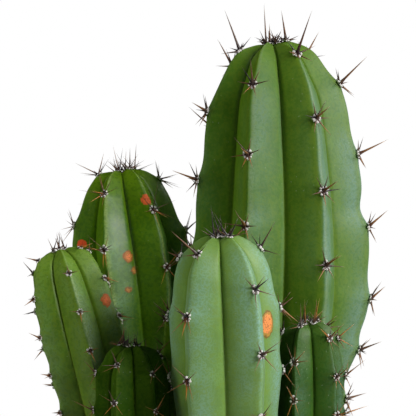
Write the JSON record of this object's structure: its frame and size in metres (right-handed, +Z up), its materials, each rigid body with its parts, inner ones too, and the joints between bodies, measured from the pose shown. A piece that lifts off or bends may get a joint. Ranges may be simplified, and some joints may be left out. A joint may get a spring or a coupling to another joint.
{
  "type": "potted columnar cactus",
  "caption": "Columnar cactus with a cluster of upright ribbed, spined stems of different heights, standing in gritty soil in a plain tapered clay pot.",
  "frame": {"origin": "middle of the pot's flat base, on the surface that the pot stands on", "axes": "+Z up along the pot's axis, -Y is the front that faces the viewer, +X to the viewer's right"},
  "size_m": [0.2, 0.2, 0.425],
  "materials": {
    "clay": "matte",
    "soil": "matte",
    "green_skin": "satin",
    "pale_skin": "satin",
    "dark_skin": "satin",
    "spine": "satin",
    "felt": "matte",
    "grit": "matte"
  },
  "bodies": {
    "root": {"pot": "clay", "soil": "soil", "stem_tall": "green_skin", "stem_front": "pale_skin", "stem_back_left": "dark_skin", "stem_left": "green_skin", "stem_low_left": "dark_skin", "stem_low_right": "green_skin", "stem_low_middle": "dark_skin"}
  },
  "joints": []
}
